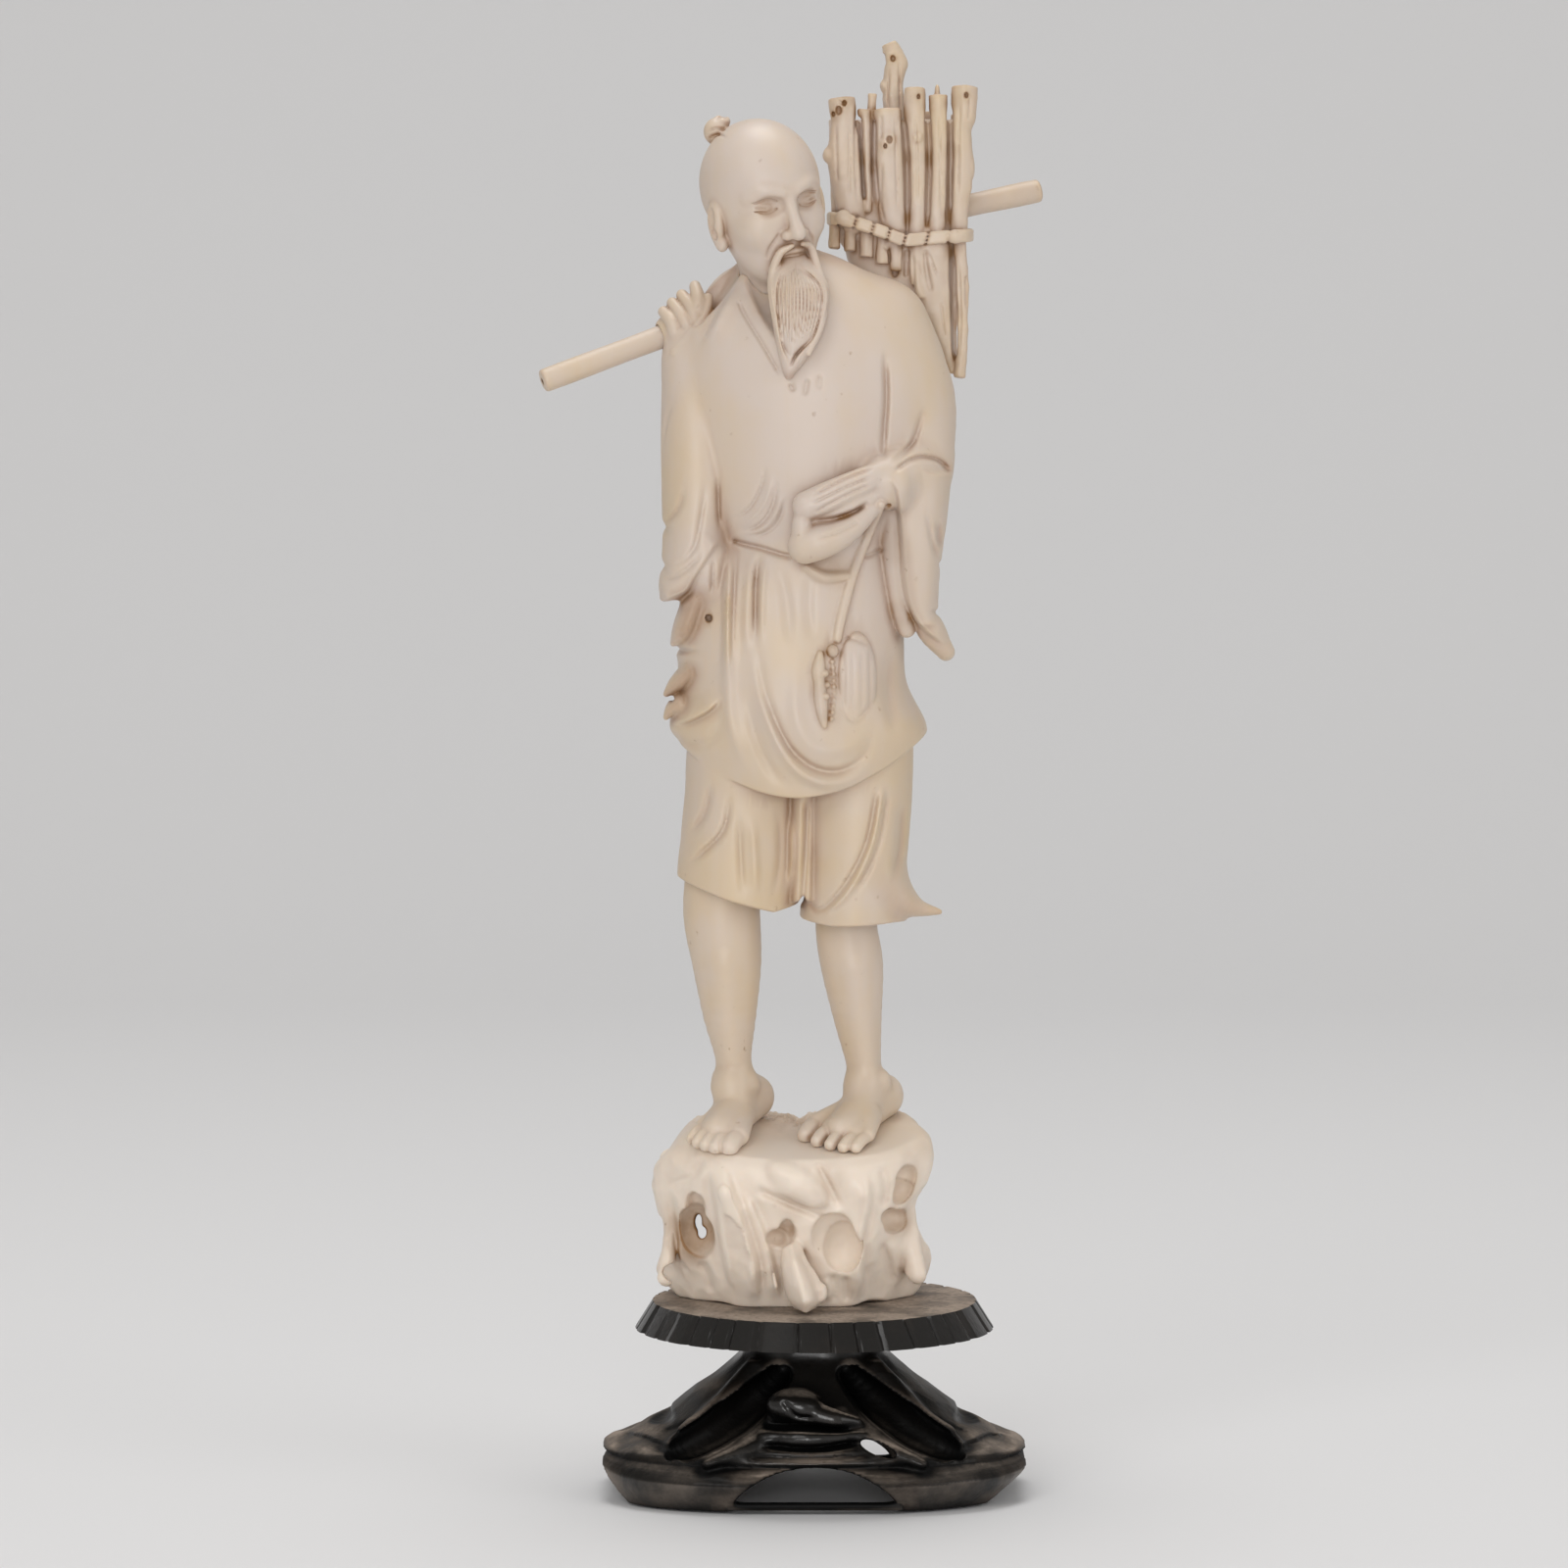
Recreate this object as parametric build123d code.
from build123d import *
import math
import os

# A woodcutter carved in ivory, pegged to a pierced rock, on a carved hardwood stand.
# Millimetres. +X is the viewer's right, -Y the front, +Z up, the floor is Z = 0.

# Hardwood stand
BASE_HEIGHT = 22.7
BASE_WIDTH = 61.0
BASE_DEPTH = 46.0
FOOT_HEIGHT = 5.6
NECK_WIDTH = 20.0
NECK_DEPTH = 18.4
ARCH_WIDTH = 22.6
ARCH_HEIGHT = 6.1
SIDE_ARCH_WIDTH = 18.8
RAIL_HEIGHT = 1.4
RAIL_LIFT = 0.4
RAIL_DEPTH = 4.6
HOLLOW_RADIUS = 2.8
CRESCENT_SPREAD = 7.1
CRESCENT_WIDTH = 4.8
CRESCENT_HEIGHT = 1.1
STAND_SHIFT = 3.0
PLATE_RADIUS = 24.8
PLATE_TOP_RADIUS = 22.4
PLATE_THICKNESS = 3.8
NICK_COUNT = 36
NICK_WIDTH = 1.1
STAND_DOWEL_RADIUS = 3.0
STAND_DOWEL_LENGTH = 9.0
STAND_DOWEL_IN_PLATE = 2.4

# Pegs that hold the figure on the plate
FIGURE_PEG_RADIUS = 1.5
FIGURE_PEG_LENGTH = 8.0
FIGURE_PEG_IN_PLATE = 3.0
FIGURE_PEG_SPACING = 22.0
FIGURE_PEG_SET_BACK = 2.0

# Pierced rock
ROCK_HEIGHT = 24.3
ROCK_WIDTH = 38.6
ROCK_DEPTH = 31.0
ROCK_FOOT_DEPTH = 8.5
ROCK_HOLE_RADIUS = 2.6
ROCK_SLIT_RADIUS = 0.9
ROCK_DISH_RADIUS = 3.1
ROCK_POCKET_DEPTH = 2.2
SOLE_TILT = 13.5
ROCK_BACK_RISE = 1.0

# Legs and the pegs under the feet
SHIN_LENGTH = 28.4
LEG_INSERT = 6.0
LEFT_ANKLE_RADIUS = 2.4
LEFT_CALF_RADIUS = 5.1
RIGHT_ANKLE_RADIUS = 2.3
RIGHT_CALF_RADIUS = 4.3
FOOT_LENGTH = 18.0
FOOT_WIDTH = 7.6
FOOT_PEG_RADIUS = 0.9
FOOT_PEG_LENGTH = 8.0

# Robe, trousers and hands
HEM_STEP = 2.8
TROUSER_LENGTH = 24.0
COLLAR_RISE = 91.5
POLE_RADIUS = 1.65
FIST_RADIUS = 3.5
FIST_LENGTH = 7.0
FINGER_RADIUS = 0.95

# Head
HEAD_RADIUS = 8.3
CROWN_RISE = 10.2
CHIN_DROP = 11.8
HEAD_TURN = 28.0
HEAD_LEAN = 10.0
HEAD_RISE = 8.3
BEARD_LENGTH = 16.0
BEARD_WIDTH = 7.4
BEARD_SHIFT = 1.6
NECK_RADIUS = 4.0
NECK_SPIGOT_LENGTH = 7.0

# Firewood and the two ends of the carrying pole
TIE_RISE = 93.6
TIE_HEIGHT = 2.4
TIE_PROUD = 1.0
BUNDLE_X = 14.7
BUNDLE_Y = 10.0
BUNDLE_WIDTH = 17.0
BUNDLE_DEPTH = 11.0
STICK_RISE = 20.0
SEAT_Y = 5.0
TWIG_RADIUS = 1.7
TWIG_LENGTH = 13.5
BUNDLE_PEG_RADIUS = 1.2
BUNDLE_PEG_LENGTH = 10.0
FRONT_POLE_REACH = 34.3
REAR_POLE_REACH = 34.4
POLE_DEPTH_SLOPE = 0.27
FRONT_POLE_SLOPE = 0.373
REAR_POLE_SLOPE = 0.21

# Clearances
GLUE_GAP = 0.05
SLIDE_GAP = 0.08
HEAD_GAP = 0.15

# Heights and places worked out from the driving sizes
PLATE_TOP = BASE_HEIGHT + PLATE_THICKNESS
SOLE_Z = PLATE_TOP + ROCK_HEIGHT
HEM_Z = SOLE_Z + SHIN_LENGTH
COLLAR_Z = HEM_Z + COLLAR_RISE
HEAD_CENTRE = Vector(-4.1, -4.0, COLLAR_Z + HEAD_RISE)
TIE_Z = HEM_Z + TIE_RISE
FIST_CENTRE = Vector(-14.2, 1.9, HEM_Z + 81.7)
FRONT_POLE_WAY = Vector(1, POLE_DEPTH_SLOPE, FRONT_POLE_SLOPE)
REAR_POLE_WAY = Vector(1, POLE_DEPTH_SLOPE, REAR_POLE_SLOPE)
REAR_POLE_EXIT = Vector(BUNDLE_X + BUNDLE_WIDTH / 2 + 1.1, BUNDLE_Y + 1.5, TIE_Z + 4.7)
LEFT_ANKLE = Vector(-8.2, -0.5, SOLE_Z + 8.5)
RIGHT_ANKLE = Vector(9.9, 0.8, SOLE_Z + 7.6)
FAR = 200.0


def rod(start, end, radius, end_radius=None):
    """A round bar between two points, tapered when it has an end radius."""
    way = Vector(end) - Vector(start)
    seat = Plane(origin=Vector(start), z_dir=way.normalized())
    ends = (Align.CENTER, Align.CENTER, Align.MIN)
    if end_radius is None or end_radius == radius:
        return seat * Cylinder(radius, way.length, align=ends)
    return seat * Cone(radius, end_radius, way.length, align=ends)


def oval_loft(sections, turn=0.0):
    """A smooth body through level ovals, each (x, y, z, half width, half depth)."""
    ovals = []
    for x, y, z, half_width, half_depth in sections:
        ovals.append(Pos(x, y, z) * Rot(0, 0, turn) * Ellipse(half_width, half_depth))
    return loft(ovals)


def round_loft(sections, ruled=False):
    """A body through level circles, each (x, y, z, radius)."""
    return loft([Pos(x, y, z) * Circle(radius) for x, y, z, radius in sections], ruled=ruled)


def egg(centre, half_width, half_depth, half_height):
    """A rounded lump with three half sizes."""
    return Pos(centre) * scale(Sphere(1.0), by=(half_width, half_depth, half_height))


def block(low, high):
    """A box between two corners."""
    size = Vector(high) - Vector(low)
    middle = (Vector(high) + Vector(low)) * 0.5
    return Pos(middle) * Box(size.X, size.Y, size.Z)


def above_soles():
    """The half space over the sloping seat of the feet."""
    seat = Pos(0, 0, SOLE_Z) * Rot(SOLE_TILT, 0, 0)
    return seat * Box(FAR, FAR, FAR, align=(Align.CENTER, Align.CENTER, Align.MIN))


def arch_tunnel(width, height, floor):
    """An arched passage right through from front to back, above a floor."""
    outline = Polyline(
        (-width / 2, floor),
        (-width / 2.3, height * 0.52),
        (-width / 3.2, height * 0.8),
        (-width / 7, height),
        (width / 7, height),
        (width / 3.2, height * 0.8),
        (width / 2.3, height * 0.52),
        (width / 2, floor),
        close=True,
    )
    return extrude(make_face(Plane.XZ * outline), amount=FAR, both=True)


def root_hollows():
    """The four deep bands that run from the neck down to the feet."""
    hollows = []
    for side in (-1, 1):
        for face in (-1, 1):
            high = Vector(side * NECK_WIDTH * 0.25, face * (NECK_DEPTH / 2 + 2.2), BASE_HEIGHT - 5.1)
            middle = Vector(side * BASE_WIDTH * 0.165, face * BASE_DEPTH * 0.33, FOOT_HEIGHT + 6.8)
            low = Vector(side * BASE_WIDTH * 0.255, face * BASE_DEPTH * 0.42, FOOT_HEIGHT + 3.2)
            hollows.append(rod(high, middle, HOLLOW_RADIUS * 0.65, HOLLOW_RADIUS))
            hollows.append(Pos(middle) * Sphere(HOLLOW_RADIUS))
            hollows.append(rod(middle, low, HOLLOW_RADIUS, HOLLOW_RADIUS * 0.85))
    return hollows


def crescents():
    """The two slanting slots that open from the shoulders into the passage under the foot."""
    slots = []
    for side, face in ((1, -1), (-1, 1)):
        start = Vector(side * CRESCENT_SPREAD, face * BASE_DEPTH * 0.435, FOOT_HEIGHT + 3.8)
        end = Vector(side * CRESCENT_SPREAD, -face * BASE_DEPTH * 0.152, ARCH_HEIGHT - 1.7)
        way = end - start
        seat = Plane(origin=start, x_dir=(1, 0, 0), z_dir=way.normalized())
        slots.append(extrude(seat * Ellipse(CRESCENT_WIDTH / 2, CRESCENT_HEIGHT / 2), way.length))
    return slots


def stand_base():
    """The carved foot: a spreading neck over four feet, two of each side joined by a thin rail."""
    levels = [
        (0.0, BASE_WIDTH - 6.0, BASE_DEPTH - 6.0),
        (FOOT_HEIGHT, BASE_WIDTH, BASE_DEPTH),
        (FOOT_HEIGHT + 1.2, BASE_WIDTH * 0.957, BASE_DEPTH * 0.93),
        (FOOT_HEIGHT + 3.2, BASE_WIDTH * 0.81, BASE_DEPTH * 0.80),
        (FOOT_HEIGHT + 5.4, BASE_WIDTH * 0.70, BASE_DEPTH * 0.695),
        (FOOT_HEIGHT + 8.9, BASE_WIDTH * 0.575, BASE_DEPTH * 0.575),
        (FOOT_HEIGHT + 10.9, BASE_WIDTH * 0.46, BASE_DEPTH * 0.495),
        (FOOT_HEIGHT + 13.3, NECK_WIDTH + 1.2, NECK_DEPTH + 1.0),
        (BASE_HEIGHT, NECK_WIDTH, NECK_DEPTH),
    ]
    outlines = []
    for z, width, depth in levels:
        outlines.append(Pos(0, 0, z) * RectangleRounded(width, depth, depth * 0.46))
    body = loft(outlines, ruled=True)
    for face in (-1, 1):
        body += egg((-1.4, face * BASE_DEPTH * 0.313, FOOT_HEIGHT + 7.8), 4.6, 3.4, 2.2)
        body += egg((4.4, face * BASE_DEPTH * 0.33, FOOT_HEIGHT + 6.6), 1.9, 1.9, 1.6)
    inside = Box(ARCH_WIDTH, BASE_DEPTH - 2 * RAIL_DEPTH, 2 * RAIL_HEIGHT)
    lift = Box(ARCH_WIDTH, FAR, 2 * RAIL_LIFT)
    cavity = egg((0, 0, 0), BASE_WIDTH * 0.344, BASE_DEPTH * 0.326, ARCH_HEIGHT + 0.5)
    bore = rod(
        (0, 0, BASE_HEIGHT + STAND_DOWEL_IN_PLATE - STAND_DOWEL_LENGTH - GLUE_GAP),
        (0, 0, BASE_HEIGHT + 1),
        STAND_DOWEL_RADIUS + GLUE_GAP,
    )
    cuts = [
        arch_tunnel(ARCH_WIDTH, ARCH_HEIGHT, RAIL_HEIGHT),
        Rot(0, 0, 90) * arch_tunnel(SIDE_ARCH_WIDTH, ARCH_HEIGHT - 0.5, -1.0),
        inside,
        lift,
        cavity,
        bore,
    ]
    return Pos(STAND_SHIFT, 0, 0) * (body - cuts - root_hollows() - crescents())


def stand_plate():
    """The round plate with a bevelled rim nicked all round."""
    body = rod(
        (STAND_SHIFT, 0, BASE_HEIGHT),
        (STAND_SHIFT, 0, PLATE_TOP),
        PLATE_RADIUS,
        PLATE_TOP_RADIUS,
    )
    nick = rod(
        (PLATE_RADIUS + 0.2, 0, -0.5),
        (PLATE_TOP_RADIUS + 0.2, 0, PLATE_THICKNESS + 0.5),
        NICK_WIDTH / 2,
    )
    nicks = [
        Pos(STAND_SHIFT, 0, BASE_HEIGHT) * Rot(0, 0, 360 * i / NICK_COUNT) * nick
        for i in range(NICK_COUNT)
    ]
    bore = rod(
        (STAND_SHIFT, 0, BASE_HEIGHT - 1),
        (STAND_SHIFT, 0, BASE_HEIGHT + STAND_DOWEL_IN_PLATE + GLUE_GAP),
        STAND_DOWEL_RADIUS + GLUE_GAP,
    )
    return body - nicks - [bore] - figure_peg_set(GLUE_GAP)


def stand_dowel():
    """The dowel between the carved foot and the plate."""
    top = BASE_HEIGHT + STAND_DOWEL_IN_PLATE
    return rod((STAND_SHIFT, 0, top - STAND_DOWEL_LENGTH), (STAND_SHIFT, 0, top), STAND_DOWEL_RADIUS)


def figure_peg_set(gap=0.0):
    """The two pegs that stand in the plate and enter the rock, grown by a gap for their holes."""
    low = PLATE_TOP - FIGURE_PEG_IN_PLATE
    pegs = []
    for side in (-1, 1):
        x = side * FIGURE_PEG_SPACING / 2
        start = (x, FIGURE_PEG_SET_BACK, low - gap)
        end = (x, FIGURE_PEG_SET_BACK, low + FIGURE_PEG_LENGTH + gap)
        pegs.append(rod(start, end, FIGURE_PEG_RADIUS + gap))
    return pegs


def rock_undercuts():
    """The three leaning half spaces in front of the rock, which is set back at its foot."""
    faces = [
        ((0.0, -ROCK_FOOT_DEPTH, PLATE_TOP), (0.0, -0.946, -0.324)),
        ((-7.0, -ROCK_FOOT_DEPTH, PLATE_TOP), (-0.699, -0.636, -0.326)),
        ((8.0, -ROCK_FOOT_DEPTH, PLATE_TOP), (0.720, -0.609, -0.332)),
    ]
    upward = (Align.CENTER, Align.CENTER, Align.MIN)
    return [Plane(origin=foot, z_dir=way) * Box(FAR, FAR, FAR, align=upward) for foot, way in faces]


def rock_hollows():
    """The hole with its slit right through, the shallow dish and the small pockets."""
    hole_z = PLATE_TOP + ROCK_HEIGHT * 0.43
    hollows = [
        rod((-13.2, -FAR / 4, hole_z), (-13.2, -ROCK_FOOT_DEPTH + 6.0, hole_z), ROCK_HOLE_RADIUS),
        rod((-12.7, -ROCK_DEPTH / 2, hole_z + 0.9), (-12.7, ROCK_DEPTH / 2, hole_z - 3.0), ROCK_SLIT_RADIUS),
        rod((6.1, -FAR / 4, hole_z - 1.8), (6.1, -ROCK_FOOT_DEPTH - 1.0, hole_z - 1.8), ROCK_DISH_RADIUS),
        rod((6.1, -FAR / 4, hole_z + 0.4), (6.1, -ROCK_FOOT_DEPTH - 1.6, hole_z + 0.4), ROCK_DISH_RADIUS),
    ]
    pockets = [
        (15.4, -8.8, 0.70, 2.2),
        (14.2, -7.6, 0.49, 2.0),
        (-1.3, -12.2, 0.43, 1.3),
    ]
    for x, face, rise, radius in pockets:
        z = PLATE_TOP + ROCK_HEIGHT * rise
        hollows.append(rod((x, -FAR / 4, z), (x, face + ROCK_POCKET_DEPTH, z), radius))
    worn_places = [
        ((7.6, 15.2, 0.47), (3.0, 3.4, 4.2)),
        ((-4.0, 15.6, 0.66), (2.4, 2.8, 2.4)),
        ((18.4, 5.4, 0.45), (2.8, 2.4, 3.4)),
        ((-19.0, 4.6, 0.61), (2.6, 2.2, 3.0)),
        ((-12.2, 14.0, 0.37), (2.2, 4.0, 3.2)),
    ]
    for (x, y, rise), sizes in worn_places:
        hollows.append(egg((x, y, PLATE_TOP + ROCK_HEIGHT * rise), *sizes))
    return hollows


def rock_base():
    """The pierced rock, set back at its foot, with a spur in front and a sloping seat for the feet."""
    half_width = ROCK_WIDTH / 2
    half_depth = ROCK_DEPTH / 2
    levels = [
        (0.00, 0.4, 0.91, 0.90),
        (0.10, 0.2, 0.99, 0.98),
        (0.17, 0.2, 1.01, 0.99),
        (0.29, 0.9, 0.945, 0.95),
        (0.44, -0.6, 0.935, 0.94),
        (0.58, -1.0, 0.96, 0.96),
        (0.70, -0.2, 1.00, 0.98),
        (0.86, 0.9, 0.965, 0.93),
        (1.12, 0.6, 0.81, 0.80),
    ]
    body = oval_loft([
        (shift, 0, PLATE_TOP + rise * ROCK_HEIGHT, half_width * wide, half_depth * deep)
        for rise, shift, wide, deep in levels
    ])
    flat_z = SOLE_Z + ROCK_BACK_RISE
    body -= block((-FAR, -FAR, flat_z), (FAR, FAR, flat_z + FAR))
    body -= above_soles()
    upward = (Align.CENTER, Align.CENTER, Align.MIN)
    shoulder = Plane(origin=(-14.6, 0, SOLE_Z - 0.4), z_dir=(-0.72, 0, 0.69))
    body -= shoulder * Box(FAR, FAR, FAR, align=upward)
    body -= rock_undercuts()
    body += egg((0.5, -half_depth + 2.5, PLATE_TOP + ROCK_HEIGHT * 0.73), 4.6, 2.4, 3.0)
    spur_middle = Vector(0.9, -half_depth + 2.1, PLATE_TOP + 3.3)
    spur_tip = Vector(1.5, -half_depth - 0.6, PLATE_TOP + 1.5)
    body += rod((-1.1, -half_depth + 5.0, PLATE_TOP + 8.6), spur_middle, 1.3, 2.4)
    body += rod((1.2, -ROCK_FOOT_DEPTH + 2.0, PLATE_TOP + 2.8), spur_middle, 2.7, 2.4)
    body += Pos(spur_middle) * Sphere(2.4)
    body += rod(spur_middle, spur_tip, 2.4, 1.4)
    body += Pos(spur_tip) * Sphere(1.4)
    rib_head = Vector(-9.6, -half_depth + 3.0, PLATE_TOP + ROCK_HEIGHT * 0.78)
    body += rod(rib_head, (-5.8, -ROCK_FOOT_DEPTH + 0.4, PLATE_TOP - 1.0), 2.0, 1.8)
    body -= block((-FAR, -FAR, PLATE_TOP - FAR), (FAR, FAR, PLATE_TOP))
    return body - rock_hollows() - figure_peg_set(SLIDE_GAP) - foot_peg_set(GLUE_GAP)


def leg_shape(ankle, calf, radii, heel_way, top_z, gap=0.0):
    """A bare shin and foot, grown by a gap where it is used as a socket."""
    ankle_radius, calf_radius = radii
    middle = (ankle + calf) * 0.5
    shin = round_loft([
        (ankle.X, ankle.Y, SOLE_Z + 2.0, ankle_radius * 1.25 + gap),
        (ankle.X, ankle.Y, ankle.Z, ankle_radius + gap),
        (middle.X, middle.Y, middle.Z, (ankle_radius + calf_radius) / 2 + gap),
        (calf.X, calf.Y, calf.Z, calf_radius + gap),
        (calf.X, calf.Y, top_z + gap, calf_radius * 0.92 + gap),
    ])
    along = Plane(origin=(ankle.X, ankle.Y, SOLE_Z), x_dir=(0, 0, 1), z_dir=heel_way)
    steps = [
        (-0.30, 4.2, 2.9, 0.40),
        (-0.18, 4.6, 4.4, 0.70),
        (0.10, 4.2, 4.6, 0.80),
        (0.42, 0.6, 2.8, 0.96),
        (0.70, -1.8, 1.7, 0.84),
    ]
    ovals = []
    for share, rise, half_height, wide in steps:
        seat = along.offset(share * FOOT_LENGTH)
        ovals.append(seat * Pos(rise, 0) * Ellipse(half_height + gap, FOOT_WIDTH / 2 * wide + gap))
    return shin + loft(ovals)


def left_leg_shape(gap=0.0):
    """The leg on the viewer's left."""
    calf = Vector(-9.6, 0.0, HEM_Z + HEM_STEP - 4.0)
    radii = (LEFT_ANKLE_RADIUS, LEFT_CALF_RADIUS)
    top_z = HEM_Z + HEM_STEP + LEG_INSERT
    return leg_shape(LEFT_ANKLE, calf, radii, Vector(-0.42, -0.908, 0), top_z, gap)


def right_leg_shape(gap=0.0):
    """The leg on the viewer's right."""
    calf = Vector(7.7, 0.3, HEM_Z - 3.5)
    radii = (RIGHT_ANKLE_RADIUS, RIGHT_CALF_RADIUS)
    top_z = HEM_Z + LEG_INSERT
    return leg_shape(RIGHT_ANKLE, calf, radii, Vector(-0.50, -0.866, 0), top_z, gap)


def foot_peg_set(gap=0.0):
    """The two pegs from the ankles down into the rock, grown by a gap for their holes."""
    pegs = []
    for ankle in (LEFT_ANKLE, RIGHT_ANKLE):
        start = (ankle.X, ankle.Y, SOLE_Z - FOOT_PEG_LENGTH / 2 - gap)
        end = (ankle.X, ankle.Y, SOLE_Z + FOOT_PEG_LENGTH / 2 + gap)
        pegs.append(rod(start, end, FOOT_PEG_RADIUS + gap))
    return pegs


def seated_leg(shape):
    """A leg cut to the sloping seat and drilled for its peg."""
    return (shape & above_soles()) - foot_peg_set(GLUE_GAP)


def under_hem():
    """The space under the jacket's hem, which rises to both sides."""
    beyond = FAR / 4
    side_rise = COLLAR_RISE * 0.44
    edge = [
        (-beyond, HEM_Z + side_rise),
        (-16.5, HEM_Z + 24.2),
        (-11.5, HEM_Z + 20.9),
        (-5.5, HEM_Z + 18.6),
        (0.5, HEM_Z + 17.7),
        (6.5, HEM_Z + 18.6),
        (12.5, HEM_Z + 20.9),
        (17.5, HEM_Z + 24.2),
        (beyond, HEM_Z + side_rise),
        (beyond, HEM_Z),
        (-beyond, HEM_Z),
    ]
    return extrude(make_face(Plane.XZ * Polyline(*edge, close=True)), amount=FAR, both=True)


def jacket():
    """The belted jacket from its hem to the collar."""
    levels = [
        (1.3, 16.0, 13.6, 11.9),
        (1.2, 22.8, 16.2, 13.0),
        (0.8, 27.0, 17.6, 13.4),
        (0.0, 32.8, 15.8, 12.9),
        (-0.4, 38.8, 15.7, 12.5),
        (0.4, 45.8, 14.8, 11.7),
        (2.2, 51.5, 12.8, 10.7),
        (2.3, 57.0, 15.0, 11.3),
        (2.2, 65.0, 17.5, 11.9),
        (2.2, 72.8, 18.6, 12.1),
        (1.7, 79.0, 17.5, 11.6),
        (1.0, 85.5, 13.4, 9.6),
        (-0.6, 89.5, 8.0, 6.6),
        (-1.8, COLLAR_RISE, 5.6, 5.2),
    ]
    body = oval_loft([(x, 0, HEM_Z + rise, wide, deep) for x, rise, wide, deep in levels])
    return body - under_hem()


def trousers():
    """The two wide trouser legs, the web between them and the flying corner of the right hem."""
    top = HEM_Z + TROUSER_LENGTH
    left_hem = HEM_Z + HEM_STEP
    left = oval_loft([
        (-7.6, -0.3, left_hem, 8.4, 9.1),
        (-7.3, -0.3, left_hem + 8, 8.2, 9.2),
        (-6.6, 0, top, 8.0, 9.3),
    ])
    right = oval_loft([
        (8.3, 0, HEM_Z, 7.4, 8.9),
        (8.6, 0, HEM_Z + 8, 7.4, 9.1),
        (8.4, 0, top, 7.8, 9.3),
    ])
    web = block((-1.0, -6.6, left_hem), (3.0, 6.6, top))
    corner = rod((11.0, -2.4, HEM_Z + 5.2), (20.0, -3.0, HEM_Z + 1.5), 3.2, 0.5)
    corner -= block((-FAR, -FAR, HEM_Z - FAR), (FAR, FAR, HEM_Z))
    return left + right + web + corner


def sleeves():
    """The two hanging sleeves."""
    left = oval_loft([
        (-12.6, 1.0, HEM_Z + 78.0, 4.7, 5.5),
        (-13.1, 0.0, HEM_Z + 73.0, 4.9, 6.8),
        (-13.0, -0.5, HEM_Z + 66.0, 5.1, 7.7),
        (-13.0, -1.2, HEM_Z + 59.0, 5.0, 7.9),
        (-13.6, -2.0, HEM_Z + 52.0, 4.3, 7.3),
        (-15.0, -2.6, HEM_Z + 47.0, 3.2, 5.6),
        (-16.4, -2.8, HEM_Z + 44.4, 1.7, 3.4),
    ])
    right = oval_loft([
        (15.6, 0.0, HEM_Z + 78.0, 4.8, 6.2),
        (16.8, -0.4, HEM_Z + 70.0, 5.3, 6.8),
        (17.3, -3.2, HEM_Z + 62.0, 4.7, 7.0),
        (17.2, -4.8, HEM_Z + 56.0, 4.0, 6.4),
        (17.3, -4.8, HEM_Z + 50.5, 3.1, 5.5),
        (17.5, -4.4, HEM_Z + 45.5, 2.5, 4.5),
        (18.2, -4.0, HEM_Z + 41.5, 2.0, 3.2),
        (20.8, -3.4, HEM_Z + 36.4, 1.4, 1.9),
    ])
    return left + right


def waist_hand():
    """The bent forearm, the fist at the belt with its folded cloth, the pouch and the pipe case."""
    elbow = Vector(16.5, -3.0, HEM_Z + 61.0)
    wrist = Vector(11.5, -10.5, HEM_Z + 60.0)
    forms = rod(elbow, wrist, 5.2, 3.4)
    forms += rod(wrist + Vector(0, -1.0, 1.5), (3.0, -13.6, HEM_Z + 56.4), 2.3, 2.0)
    forms += rod(wrist + Vector(0, -1.0, -2.4), (3.2, -13.4, HEM_Z + 52.4), 2.3, 2.0)
    forms += Pos(3.0, -13.6, HEM_Z + 56.4) * Sphere(2.0)
    forms += Pos(3.2, -13.4, HEM_Z + 52.4) * Sphere(2.0)
    forms += Pos(wrist) * Sphere(3.4)
    forms += egg((8.7, -10.6, HEM_Z + 33.6), 3.0, 1.9, 6.5)
    forms += rod((4.2, -12.2, HEM_Z + 36.5), (4.6, -12.7, HEM_Z + 28.0), 1.2, 0.9)
    return forms


def pole_hand():
    """The fist round the pole and the part of the pole carved with the shoulder."""
    way = FRONT_POLE_WAY.normalized()
    forms = rod(FIST_CENTRE - way * (FIST_LENGTH / 2), FIST_CENTRE + way * (FIST_LENGTH / 2), FIST_RADIUS)
    up = (Vector(0, 0, 1) - way * way.Z).normalized()
    front = way.cross(up)
    for i in range(4):
        place = FIST_CENTRE + way * (FIST_LENGTH * (i - 1.5) / 4)
        knuckle = place + front * (FIST_RADIUS - 0.2) - up * 2.4
        nail = place + front * 0.9 + up * (FIST_RADIUS + 0.9)
        forms += rod(knuckle, nail, FINGER_RADIUS, FINGER_RADIUS * 0.8)
    forms += rod(FIST_CENTRE, (-6.0, 4.6, COLLAR_Z - 4.4), 2.4)
    return forms


def figure_body():
    """The robed body in one piece, with the sockets for all that is pegged to it."""
    body = jacket() + trousers() + sleeves() + waist_hand() + pole_hand()
    seat = block((3.0, SEAT_Y, TIE_Z - 24.0), (FAR, FAR, FAR))
    cuts = [seat, head_shape(HEAD_GAP), left_leg_shape(GLUE_GAP), right_leg_shape(GLUE_GAP)]
    cuts += [front_pole_shape(SLIDE_GAP), bundle_peg_shape(GLUE_GAP)]
    return body - cuts


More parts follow.
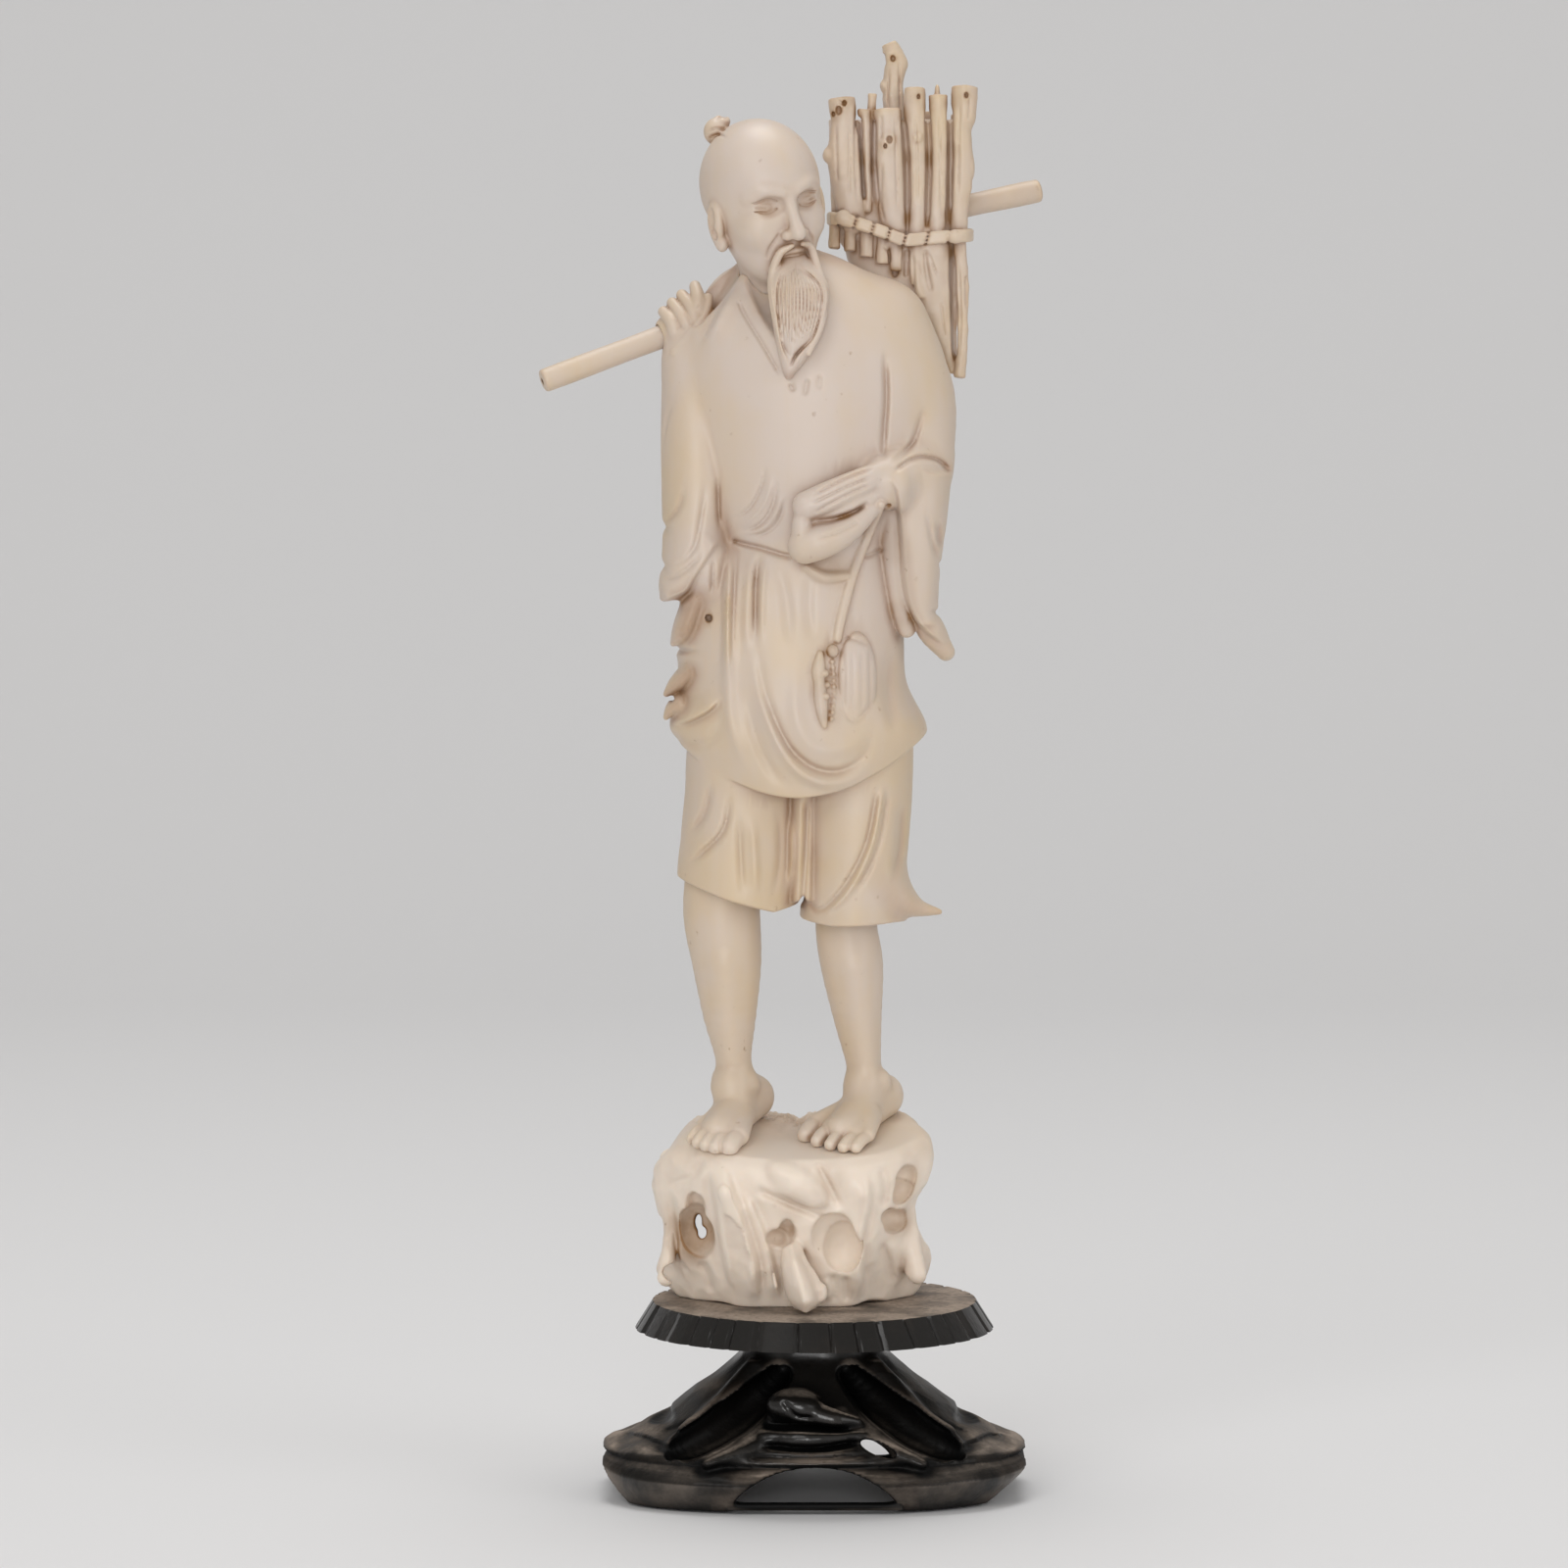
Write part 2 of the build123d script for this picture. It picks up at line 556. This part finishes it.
def head_shape(gap=0.0):
    """The head, beard and neck spigot, grown by a gap where they are used as a socket."""
    crown = CROWN_RISE + gap
    chin = CHIN_DROP + gap
    wide = HEAD_RADIUS + gap
    edge = Spline(
        (0, crown),
        (wide * 0.62, crown * 0.83),
        (wide * 0.95, crown * 0.42),
        (wide, 0),
        (wide * 0.86, -chin * 0.40),
        (wide * 0.56, -chin * 0.76),
        (0, -chin),
        tangents=[(1, 0), (-1, 0)],
    )
    profile = make_face(Plane.XZ * (edge + Line((0, -chin), (0, crown))))
    skull = revolve(profile, Axis.Z)
    place = Pos(HEAD_CENTRE) * Rot(0, 0, HEAD_TURN) * Rot(8, -HEAD_LEAN, 0)
    turn = math.radians(HEAD_TURN)
    front = Vector(math.sin(turn), -math.cos(turn), 0)
    mouth = HEAD_CENTRE + front * (HEAD_RADIUS * 0.72) + Vector(BEARD_SHIFT, 0, 0)
    mouth_z = HEAD_CENTRE.Z - CHIN_DROP * 0.45
    tip_z = HEAD_CENTRE.Z - CHIN_DROP * 0.9 - BEARD_LENGTH
    half = BEARD_WIDTH / 2 + gap
    beard = oval_loft([
        (mouth.X, mouth.Y, mouth_z, half * 0.8, 2.4 + gap),
        (mouth.X + 0.3, mouth.Y - 1.9, mouth_z * 0.7 + tip_z * 0.3, half, 2.2 + gap),
        (mouth.X - 0.2, mouth.Y - 3.2, mouth_z * 0.35 + tip_z * 0.65, half * 0.72, 1.8 + gap),
        (mouth.X - 1.0, mouth.Y - 3.6, tip_z - gap, half * 0.26, 0.8 + gap),
    ], turn=HEAD_TURN * 0.5)
    neck = rod(
        (-2.8, -1.0, COLLAR_Z - NECK_SPIGOT_LENGTH - gap),
        (HEAD_CENTRE.X, HEAD_CENTRE.Y, HEAD_CENTRE.Z),
        NECK_RADIUS + gap,
    )
    return place * skull + beard + neck


def head():
    """The head with its topknot, ears and a plain nose."""
    place = Pos(HEAD_CENTRE) * Rot(0, 0, HEAD_TURN) * Rot(8, -HEAD_LEAN, 0)
    details = egg((-HEAD_RADIUS * 0.97, 1.0, -1.5), 1.0, 1.6, 3.0)
    details += egg((HEAD_RADIUS * 0.97, 1.0, -1.5), 1.0, 1.6, 3.0)
    details += egg((0, -HEAD_RADIUS * 0.97, -2.2), 1.1, 1.5, 2.0)
    details += egg((-2.4, HEAD_RADIUS * 0.62, CROWN_RISE * 0.82), 1.5, 1.5, 1.5)
    return head_shape() + place * details


def front_pole_shape(gap=0.0):
    """The front end of the pole, from its free end to its blind hole behind the fist."""
    way = FRONT_POLE_WAY
    outer = FIST_CENTRE - way * (FRONT_POLE_REACH + FIST_CENTRE.X)
    inner = FIST_CENTRE + way.normalized() * (FIST_LENGTH / 2 + 1.0 + gap)
    return rod(outer, inner, POLE_RADIUS + gap)


def rear_pole_shape(gap=0.0):
    """The rear end of the pole, from its blind hole in the firewood to its free end."""
    way = REAR_POLE_WAY
    outer = REAR_POLE_EXIT + way * (REAR_POLE_REACH - REAR_POLE_EXIT.X)
    inner = REAR_POLE_EXIT - way.normalized() * (BUNDLE_WIDTH * 0.45 + gap)
    return rod(inner, outer, POLE_RADIUS + gap)


def bundle_peg_shape(gap=0.0):
    """The peg from the shoulder into the firewood."""
    place = Vector(BUNDLE_X - 3.4, SEAT_Y, TIE_Z - 10.0)
    half = Vector(0, BUNDLE_PEG_LENGTH / 2 + gap, 0)
    return rod(place - half, place + half, BUNDLE_PEG_RADIUS + gap)


def twig_shape(gap=0.0):
    """The broken twig that stands up behind the other sticks."""
    top = TIE_Z + STICK_RISE + 6.6
    return round_loft([
        (14.6, BUNDLE_Y, top - TWIG_LENGTH - gap, TWIG_RADIUS + gap),
        (14.6, BUNDLE_Y, top - TWIG_LENGTH * 0.5, TWIG_RADIUS + gap),
        (14.2, BUNDLE_Y, top - TWIG_LENGTH * 0.28, TWIG_RADIUS * 0.85 + gap),
        (13.6, BUNDLE_Y, top, TWIG_RADIUS * 0.95 + gap),
    ], ruled=True)


def stick(top, tie, foot, top_radius, tie_radius):
    """One stick of firewood, flared to its cut top."""
    return round_loft([
        (foot.X, foot.Y, foot.Z, tie_radius),
        (tie.X, tie.Y, tie.Z, tie_radius),
        (top.X, top.Y, top.Z, top_radius),
    ], ruled=True)


def firewood_bundle():
    """The tied sticks on the back of the shoulder, cut flat where they seat on it."""
    half_width = BUNDLE_WIDTH / 2
    half_depth = BUNDLE_DEPTH / 2
    body = oval_loft([
        (BUNDLE_X + 1.3, BUNDLE_Y - 2.0, TIE_Z - 16.0, half_width * 0.58, half_depth * 0.52),
        (BUNDLE_X, BUNDLE_Y - 0.8, TIE_Z - 8.0, half_width * 0.84, half_depth * 0.76),
        (BUNDLE_X, BUNDLE_Y, TIE_Z, half_width * 0.94, half_depth * 0.92),
        (BUNDLE_X + 0.5, BUNDLE_Y, TIE_Z + STICK_RISE * 0.7, half_width * 1.02, half_depth * 0.94),
    ])
    band_seat = Pos(BUNDLE_X, BUNDLE_Y, TIE_Z - TIE_HEIGHT / 2)
    body += extrude(band_seat * Ellipse(half_width + TIE_PROUD, half_depth + TIE_PROUD), TIE_HEIGHT)
    front_row = [
        (-0.98, -0.82, -6.0, -0.6, 2.1, 1.5),
        (-0.58, -0.52, -5.0, -1.6, 1.4, 1.2),
        (-0.18, -0.22, -8.0, -1.2, 2.0, 1.5),
        (0.26, 0.14, -13.0, 0.6, 1.8, 1.4),
        (0.66, 0.50, -16.5, 0.8, 1.6, 1.3),
        (1.08, 0.86, -19.6, 1.2, 2.1, 1.5),
    ]
    for top_share, tie_share, drop, rise, top_radius, tie_radius in front_row:
        y = BUNDLE_Y - half_depth * 0.78
        tie = Vector(BUNDLE_X + half_width * tie_share, y, TIE_Z)
        top = Vector(BUNDLE_X + half_width * top_share, y, TIE_Z + STICK_RISE + rise)
        foot = Vector(tie.X + 1.0, y + half_depth * 0.55, TIE_Z + drop)
        body += stick(top, tie, foot, top_radius, tie_radius)
    for i in range(5):
        share = (i - 2) / 2
        y = BUNDLE_Y + half_depth * (0.86 - 0.5 * share * share)
        tie = Vector(BUNDLE_X + half_width * 0.84 * share, y, TIE_Z)
        top = Vector(BUNDLE_X + half_width * 0.98 * share, y + 0.7, TIE_Z + STICK_RISE - 0.8 + 0.5 * i)
        foot = Vector(BUNDLE_X + 1.0 + half_width * 0.62 * share, y - 2.2, TIE_Z - 15.0 - i % 2)
        body += stick(top, tie, foot, 1.9, 1.5)
    front = block((-FAR, -FAR, -FAR), (FAR, SEAT_Y, TIE_Z - TIE_HEIGHT / 2))
    return body - [front, rear_pole_shape(SLIDE_GAP), bundle_peg_shape(GLUE_GAP), twig_shape(GLUE_GAP)]


NODES = {
    "stand_base": stand_base,
    "stand_plate": stand_plate,
    "stand_dowel": stand_dowel,
    "figure_pegs": lambda: Compound(children=figure_peg_set()),
    "rock_base": rock_base,
    "foot_pegs": lambda: Compound(children=foot_peg_set()),
    "left_leg": lambda: seated_leg(left_leg_shape()),
    "right_leg": lambda: seated_leg(right_leg_shape()),
    "figure_body": figure_body,
    "head": head,
    "front_pole": front_pole_shape,
    "firewood_bundle": firewood_bundle,
    "bundle_peg": bundle_peg_shape,
    "loose_twig": twig_shape,
    "rear_pole": rear_pole_shape,
}

os.makedirs("parts", exist_ok=True)
for node, make in NODES.items():
    export_step(make(), f"parts/{node}.step")
